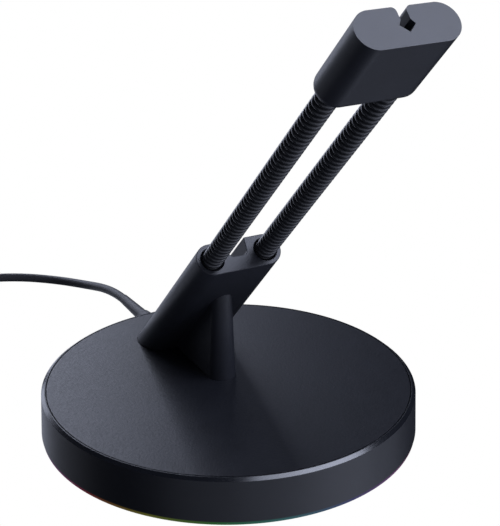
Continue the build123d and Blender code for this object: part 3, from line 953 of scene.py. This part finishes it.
    def keyhole(self) -> list[Piece]:
        """The shapes that cut the clip's slot: pocket, neck and the flare between its lips."""
        start, end = self.clip_start - MM, self.clip_start + self.clip_length + MM
        outside = 2 * self.clip_radius
        Bench.clear()
        bpy.ops.mesh.primitive_cylinder_add(
            vertices=4,
            radius=self.pocket_half,
            depth=end - start,
            location=(0.0, self.pocket_middle, (start + end) / 2),
        )
        pocket = Bench.named("pocket")
        with Bench.editing(pocket):
            for way, edge in ((1, self.pocket_peak), (-1, self.pocket_bottom)):
                edge_now = self.pocket_middle + way * self.pocket_half
                halfway = self.pocket_middle + way * self.pocket_half / 2
                Bench.pick(pocket, lambda place: way * (place.y - halfway) > 0.0)
                bpy.ops.transform.translate(value=(0.0, edge - edge_now, 0.0))
        half = self.neck_half
        neck = Bench.block("neck", (-half, self.pocket_middle, start), (half, outside, end))
        lip_start = self.clip_radius - self.lip_radius
        half = self.neck_half + self.lip_radius
        flare = Bench.block("flare", (-half, lip_start, start), (half, outside, end))
        for side in Side:
            place = (side.value * half, lip_start)
            lip = Bench.rod("lip", self.lip_radius, (start - MM, end + MM), 64, place)
            Bench.combine(flare, lip, Join.DIFFERENCE)
        return [pocket, neck, flare]

    def clip(self) -> None:
        """The clip at the arm's end, with its keyhole slot and the springs' seats."""
        start = self.clip_start
        radii = (self.clip_radius, self.clip_radius)
        body = Bench.stadium("end_clip", self.spacing, radii, (start, start + self.clip_length))

        def at_start(near: Vector, far: Vector) -> bool:
            """Whether an edge lies on the clip's end that faces the springs."""
            return max(near.z, far.z) < start + WELD

        Bench.round_edges(body, self.clip_end_round, at_start, segments=10)
        for tool in self.keyhole():
            Bench.combine(body, tool, Join.DIFFERENCE)
        Bench.place(body, self.frame)
        seat_end = start + self.clip_seat_depth
        outline = ((self.seat_radius, start - MM), (self.seat_radius, seat_end))
        for side in Side:
            Bench.combine(body, self.seat(side, outline), Join.DIFFERENCE)
        Bench.soften(body, self.edge_round)
        self.palette.stand_in(body, "clip_plastic", Body.CLIP, "cable_clip")


@dataclass
class Plug:
    """The USB plug at the lead's far end: moulded body, steel shell, tongue and contacts."""

    palette: Palette
    corner: float = 2.0 * MM
    neck_length: float = 8.0 * MM
    neck_radii: tuple[float, float] = (2.9 * MM, 2.2 * MM)
    ribs: int = 4
    rib_depth: float = 0.45 * MM
    rib_shares: tuple[float, float, float] = (0.6, 0.65, 0.95)
    grooves: int = 4
    groove_start: float = 5.0 * MM
    groove_step: float = 2.4 * MM
    groove_half: Place = (4.2 * MM, 0.5 * MM, 0.35 * MM)
    body_edge: float = 0.2 * MM
    shell_wall: float = 0.4 * MM
    window_place: float = 2.6 * MM
    window_half: float = 1.25 * MM
    window_span: tuple[float, float] = (5.2 * MM, 7.2 * MM)
    shell_edge: float = 0.12 * MM
    solids: tuple[tuple[str, str], ...] = (
        ("usb_plug_tongue", "plug_tongue_plastic"),
        ("usb_plug_contacts", "contact_gold"),
    )

    def build(self) -> list[Piece]:
        """Models and dresses the plug's pieces and returns them."""
        pieces = [self.body(), self.shell()]
        for node, slot in self.solids:
            pieces.append(bpy.data.objects[node])
            self.palette.dress(pieces[-1], slot, None)
        return pieces

    def neck_outline(self) -> list[tuple[float, float]]:
        """The (radius, height) points of the ribbed neck, from inside the body to its thin end."""
        wide, thin = self.neck_radii
        rib = self.neck_length / self.ribs
        rib_end, groove_start, groove_end = self.rib_shares
        outline = [(wide, -MM)]
        for index in range(self.ribs):
            radius = wide - (wide - thin) * (index + 0.5) / self.ribs
            outline += [
                (radius, index * rib),
                (radius, (index + rib_end) * rib),
                (radius - self.rib_depth, (index + groove_start) * rib),
                (radius - self.rib_depth, (index + groove_end) * rib),
            ]
        return [*outline, (thin, self.neck_length)]

    def body(self) -> Piece:
        """The moulded body with grip grooves in its broad faces and a ribbed neck."""
        low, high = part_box("usb_plug_body")
        middle = (low + high) / 2
        back = high.y - self.neck_length
        body = Bench.block("plug_body", low, (high.x, back, high.z))

        def lengthwise(near: Vector, far: Vector) -> bool:
            """Whether an edge runs along the plug."""
            return abs(near.y - far.y) > MM

        Bench.round_edges(body, self.corner, lengthwise)
        neck = Bench.turned("neck", self.neck_outline(), 48)
        Bench.place(neck, Matrix.Translation((middle.x, back, middle.z)) @ Z_TO_Y)
        Bench.combine(body, neck, Join.UNION)
        half = Vector(self.groove_half)
        for face in (low.z, high.z):
            for index in range(self.grooves):
                along = back - self.groove_start - self.groove_step * index
                place = Vector((middle.x, along, face))
                groove = Bench.block("groove", place - half, place + half)
                Bench.combine(body, groove, Join.DIFFERENCE)
        Bench.soften(body, self.body_edge)
        self.palette.stand_in(body, "plug_plastic", Body.BASE, "usb_plug_body")
        return body

    def shell(self) -> Piece:
        """The steel shell, an open sleeve with two catch windows in each broad face."""
        low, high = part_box("usb_plug_shell")
        outer = Bench.block("plug_shell", low, high)
        inset = Vector((self.shell_wall, -MM, self.shell_wall))
        Bench.combine(outer, Bench.block("inside", low + inset, high - inset), Join.DIFFERENCE)
        middle = (low.x + high.x) / 2
        front, back = (low.y + along for along in self.window_span)
        for side in Side:
            across = middle + side.value * self.window_place
            near = (across - self.window_half, front, low.z - MM)
            far = (across + self.window_half, back, high.z + MM)
            Bench.combine(outer, Bench.block("window", near, far), Join.DIFFERENCE)
        Bench.soften(outer, self.shell_edge)
        self.palette.stand_in(outer, "plug_shell_steel", Body.BASE, "usb_plug_shell")
        return outer


@dataclass
class Lead:
    """The USB lead: strain relief, cable with its put-away coil, and tie."""

    palette: Palette
    radius: float = 1.5 * MM
    length: float = 1.4
    coil_centre: tuple[float, float] = (-61.0 * MM, 117.0 * MM)
    coil_inner: float = 14.25 * MM
    coil_columns: int = 3
    coil_layers: int = 4
    coil_rise: float = 0.8 * MM
    points_per_turn: int = 16
    crossing: float = 0.22
    wall: float = 55.0 * MM
    flange_thickness: float = 1.5 * MM
    flange_gap: float = 0.1 * MM
    flange_overlap: float = 0.2 * MM
    neck_radius: float = 2.7 * MM
    collar_radii: tuple[float, float] = (3.3 * MM, 2.4 * MM)
    sleeve_neck: float = 2.05 * MM
    sleeve_step: float = 0.6 * MM
    sleeve_tip: float = 1.6 * MM
    sleeve_run: float = 17.0 * MM
    sleeve_sag: float = 0.42 * MM
    sleeve_edge: float = 0.25 * MM
    strap_corner: float = 1.6 * MM
    strap_share: float = 0.98
    strap_edge: float = 0.15 * MM
    lap_margins: tuple[float, float] = (1.5 * MM, 2.6 * MM)
    lap_height: float = 0.7 * MM
    lap_overlap: float = 0.02 * MM
    route: tuple[Place, ...] = (
        (0.0000, 0.0630, 0.0090),
        (0.0000, 0.0780, 0.0090),
        (-0.0003, 0.0935, 0.0070),
        (-0.0025, 0.1080, 0.0032),
        (-0.0090, 0.1205, 0.0015),
        (-0.0200, 0.1295, 0.0015),
        (-0.0330, 0.1348, 0.0015),
        (-0.0470, 0.1371, 0.0018),
        (-0.0610, 0.1373, 0.0023),
    )
    tail: tuple[Place, ...] = (
        (-0.0813, 0.1170, 0.0113),
        (-0.0815, 0.1040, 0.0096),
        (-0.0824, 0.0890, 0.0040),
        (-0.0824, 0.0770, 0.0040),
    )

    def build(self) -> None:
        """Models and dresses the lead and what is on it."""
        self.cable([self.relief(), self.tie(), *Plug(self.palette).build()])

    def turns(self) -> list[Place]:
        """The control points of the coil's turns, from the rear of the lowest outer turn.

        Each turn keeps to one column for most of its way and crosses to the next in its last part.
        The columns go in, out, in and out again as the layers rise.

        Returns:
            Points, each a place in metres.
        """
        pitch = 2 * self.radius
        columns = list(range(self.coil_columns))[::-1]
        stations = []
        for layer in range(self.coil_layers):
            for column in columns if layer % 2 == 0 else columns[::-1]:
                stations.append((column, layer))
        swell = 1.0 / math.cos(math.pi / self.points_per_turn)
        whole = len(stations) - 1
        last = whole * self.points_per_turn + self.points_per_turn // 4
        points = []
        for index in range(1, last):
            turn, step = divmod(index, self.points_per_turn)
            share = step / self.points_per_turn
            blend = max(0.0, (share - 1.0 + self.crossing) / self.crossing)
            column, layer = stations[turn]
            next_column, next_layer = stations[min(turn + 1, whole)]
            reach = self.coil_inner + pitch * (column + (next_column - column) * blend)
            rise = pitch * (layer + (next_layer - layer) * blend)
            angle = math.pi / 2 + math.tau * share
            across = self.coil_centre[0] + swell * reach * math.cos(angle)
            along = self.coil_centre[1] + swell * reach * math.sin(angle)
            points.append((across, along, self.coil_rise + self.radius + rise))
        return points

    def cable(self, pieces: list[Piece]) -> None:
        """The cable as one smooth curve: its free run, its coil and its tail.

        Args:
            pieces: What is on the cable; not used.
        """
        points = [*self.route, *self.turns(), *self.tail]
        curve = bpy.data.curves.new("usb_lead", "CURVE")
        curve.dimensions = "3D"
        curve.bevel_depth = self.radius
        curve.bevel_resolution = 5
        curve.use_fill_caps = True
        spline = curve.splines.new("NURBS")
        spline.points.add(len(points) - 1)
        for control, place in zip(spline.points, points):
            control.co = (*place, 1.0)
        spline.order_u = 3
        spline.use_endpoint_u = True
        spline.resolution_u = 6
        lead = Bench.linked("usb_lead", curve)
        nodes = ("usb_cable", "usb_cable_coil", "usb_cable_tail")
        self.palette.stand_in(lead, "cable_jacket", Body.BASE, *nodes)

    def relief(self) -> Piece:
        """The strain relief: a flange inside the wall, a neck through it and a tapered sleeve."""
        low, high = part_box("strain_relief")
        across, _, up = self.route[0]
        inside = low.y + self.flange_thickness
        outline = (
            (self.neck_radius, inside - self.flange_overlap),
            (self.neck_radius, self.wall),
            (self.collar_radii[0], self.wall),
            (self.collar_radii[1], high.y),
            (self.sleeve_neck, high.y + self.sleeve_step),
            (self.sleeve_tip, high.y + self.sleeve_run),
        )
        sleeve = Bench.turned("lead_sleeve", outline, 64)
        Bench.place(sleeve, Matrix.Translation((across, 0.0, up)) @ Z_TO_Y)
        with Bench.editing(sleeve):
            Bench.pick(sleeve, lambda place: place.y > high.y + self.sleeve_run / 2)
            bpy.ops.transform.translate(value=(0.0, 0.0, -self.sleeve_sag))
        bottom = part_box("light_board")[1].z + self.flange_gap
        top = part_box("ballast_plate")[1].z - self.flange_gap
        flange = Bench.block("flange", (low.x, low.y, bottom), (high.x, inside, top))
        Bench.combine(sleeve, flange, Join.UNION)
        Bench.soften(sleeve, self.sleeve_edge)
        self.palette.stand_in(sleeve, "cable_jacket", Body.BASE, "strain_relief")
        return sleeve

    def tie(self) -> Piece:
        """The strap round the coil, with its loose end lapped on top."""
        low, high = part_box("cable_tie")
        inset = Vector((0.0, self.coil_rise / 2, self.coil_rise / 2))
        strap = Bench.block("coil_strap", low + inset, high - inset)
        middle = (low.x + high.x) / 2
        with Bench.editing(strap):
            for side in Side:
                Bench.pick(strap, lambda place: side.value * (place.x - middle) > 0.0)
                bpy.ops.mesh.delete(type="ONLY_FACE")

        def across(near: Vector, far: Vector) -> bool:
            """Whether an edge runs across the strap."""
            return abs(near.x - far.x) > MM

        Bench.round_edges(strap, self.strap_corner, across)
        thickness = self.coil_rise * self.strap_share
        Bench.modify(strap, "SOLIDIFY", thickness=thickness, offset=0.0)
        front, back = self.lap_margins
        lap_low = (low.x, low.y + front, high.z - self.lap_overlap)
        lap_high = (high.x, high.y - back, high.z + self.lap_height)
        Bench.combine(strap, Bench.block("lap", lap_low, lap_high), Join.UNION)
        Bench.soften(strap, self.strap_edge)
        self.palette.stand_in(strap, "tie_strap", Body.BASE, "cable_tie")
        return strap


@dataclass
class Innards:
    """The solids that keep their own shape: what is inside the base, and the plate under it."""

    palette: Palette
    slots: tuple[tuple[str, str], ...] = (
        ("base_plate", "housing_plastic"),
        ("ballast_plate", "ballast_steel"),
        ("base_screws", "screw_steel"),
        ("arm_screws", "screw_steel"),
        ("light_board", "board_laminate"),
        ("leds", "lamp_white"),
        ("control_chip", "chip_black"),
        ("board_header", "header_ivory"),
        ("inner_lead", "cable_jacket"),
    )

    def build(self) -> None:
        """Dresses each solid."""
        for node, slot in self.slots:
            self.palette.dress(bpy.data.objects[node], slot, None)


@dataclass(frozen=True)
class Softbox:
    """A soft studio lamp, told by the part of the surroundings that it fills for the stand."""

    name: str
    azimuths: tuple[float, float]
    elevations: tuple[float, float]
    radiance: float
    distance: float = 0.9
    colour: Colour = (0.86, 0.92, 1.14)

    def build(self, target: Vector) -> None:
        """Hangs the lamp round a target point, with azimuth 0 on +X and 90 on +Y."""
        spans = (self.azimuths, self.elevations)
        around, above = (math.radians((low + high) / 2) for low, high in spans)
        half_wide, half_tall = (math.radians((high - low) / 2) for low, high in spans)
        level = math.cos(above)
        way = Vector((math.cos(around) * level, math.sin(around) * level, math.sin(above)))
        light = bpy.data.lights.new(self.name, "AREA")
        light.shape = "RECTANGLE"
        light.size = 2 * self.distance * math.tan(half_wide * level)
        light.size_y = 2 * self.distance * math.tan(half_tall)
        light.energy = self.radiance * math.pi * light.size * light.size_y
        light.color = self.colour
        lamp = Bench.linked(self.name, light)
        lamp.location = target + way * self.distance
        lamp.rotation_mode = "QUATERNION"
        lamp.rotation_quaternion = way.to_track_quat("Z", "Y")
        lamp.visible_camera = False
        LOG.info("%s: %.2f W", self.name, light.energy)


@dataclass
class Studio:
    """The white floor, the lamps, the world's light and the photograph's camera."""

    azimuth: float = math.radians(-27.479)
    elevation: float = math.radians(23.149)
    distance: float = 433.583 * MM
    aim_right: float = 6.314 * MM
    aim_up: float = 48.011 * MM
    focal_pixels: float = 1448.396
    picture_height: int = 526
    sensor: float = 36.0
    nearest: float = 10.0 * MM
    floor_side: float = 6.0
    fill: Colour = (0.008, 0.0085, 0.0105)
    target: Vector = field(default_factory=lambda: Vector((0.0, 0.0, 0.05)))
    lamps: tuple[Softbox, ...] = (
        Softbox("key_left", (-90.0, -52.0), (38.0, 68.0), 4.2),
        Softbox("key_right", (-52.0, -12.0), (38.0, 68.0), 6.2),
        Softbox("back_panel", (70.0, 112.0), (18.0, 38.0), 4.2),
        Softbox("back_strip", (60.0, 95.0), (-5.0, 18.0), 0.77),
        Softbox("side_strip", (95.0, 114.0), (-5.0, 18.0), 2.0),
        Softbox("side_end", (114.0, 132.0), (-5.0, 18.0), 0.65),
        Softbox("front_fill", (-110.0, -50.0), (-5.0, 18.0), 0.38),
        Softbox("left_fill", (-180.0, -110.0), (-5.0, 18.0), 0.15),
        Softbox("floor_back", (80.0, 110.0), (-45.0, -5.0), 0.84),
        Softbox("floor_side", (110.0, 150.0), (-45.0, -5.0), 0.26),
        Softbox("floor_left", (-150.0, -110.0), (-45.0, -5.0), 0.34),
        Softbox("floor_front", (-110.0, -70.0), (-45.0, -5.0), 0.65),
        Softbox("floor_bright", (-70.0, -30.0), (-45.0, -5.0), 1.23),
        Softbox("floor_right", (-30.0, 0.0), (-45.0, -5.0), 0.48),
        Softbox("under_front", (-90.0, 0.0), (-80.0, -45.0), 0.49),
        Softbox("under_back", (0.0, 90.0), (-80.0, -45.0), 0.13),
    )

    def build(self) -> None:
        """Sets the whole studio."""
        self.floor()
        self.world()
        for lamp in self.lamps:
            lamp.build(self.target)
        self.camera()
        bpy.context.scene.view_settings.view_transform = "Standard"

    def floor(self) -> None:
        """A white floor that only the camera sees, as in a cut-out product picture.

        The light that a floor sends back up comes from the lamps that hang below it.
        """
        Bench.clear()
        bpy.ops.mesh.primitive_plane_add(size=self.floor_side)
        floor = Bench.named("floor")
        graph = Graph(bpy.data.materials.new("floor_white"))
        graph.set(Base_Color=(0.0, 0.0, 0.0, 1.0), Specular_IOR_Level=0.0)
        graph.set(Emission_Color=(*WHITE, 1.0), Emission_Strength=1.0)
        floor.data.materials.append(graph.owner)
        floor.visible_diffuse = False
        floor.visible_glossy = False
        floor.visible_shadow = False

    def world(self) -> None:
        """A weak even light from all round, which the camera sees as a white backdrop."""
        graph = Graph(bpy.data.worlds.new("studio"), "Background")
        seen = graph.node("ShaderNodeLightPath").outputs["Is Camera Ray"]
        graph.set(Color=graph.tint(seen, self.fill, WHITE))
        bpy.context.scene.world = graph.owner

    def camera(self) -> None:
        """The camera at the photograph's place, with its focal length."""
        sine, cosine = math.sin(self.azimuth), math.cos(self.azimuth)
        level = math.cos(self.elevation)
        back = Vector((sine * level, -cosine * level, math.sin(self.elevation)))
        right = Vector((cosine, sine, 0.0))
        up = back.cross(right)
        data = bpy.data.cameras.new("camera")
        data.sensor_width = self.sensor
        data.lens = self.sensor * self.focal_pixels / self.picture_height
        data.clip_start = self.nearest
        camera = Bench.linked("camera", data)
        camera.location = right * self.aim_right + up * self.aim_up + back * self.distance
        camera.rotation_mode = "QUATERNION"
        camera.rotation_quaternion = (-back).to_track_quat("-Z", "Y")
        bpy.context.scene.camera = camera


def main() -> None:
    """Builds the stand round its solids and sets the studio."""
    logging.basicConfig(level=logging.INFO, format="%(name)s: %(message)s")
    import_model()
    palette = Palette()
    arm = Arm(palette)
    Base(palette).build(arm)
    arm.build()
    Innards(palette).build()
    Lead(palette).build()
    Studio().build()


if __name__ == "__main__":
    main()
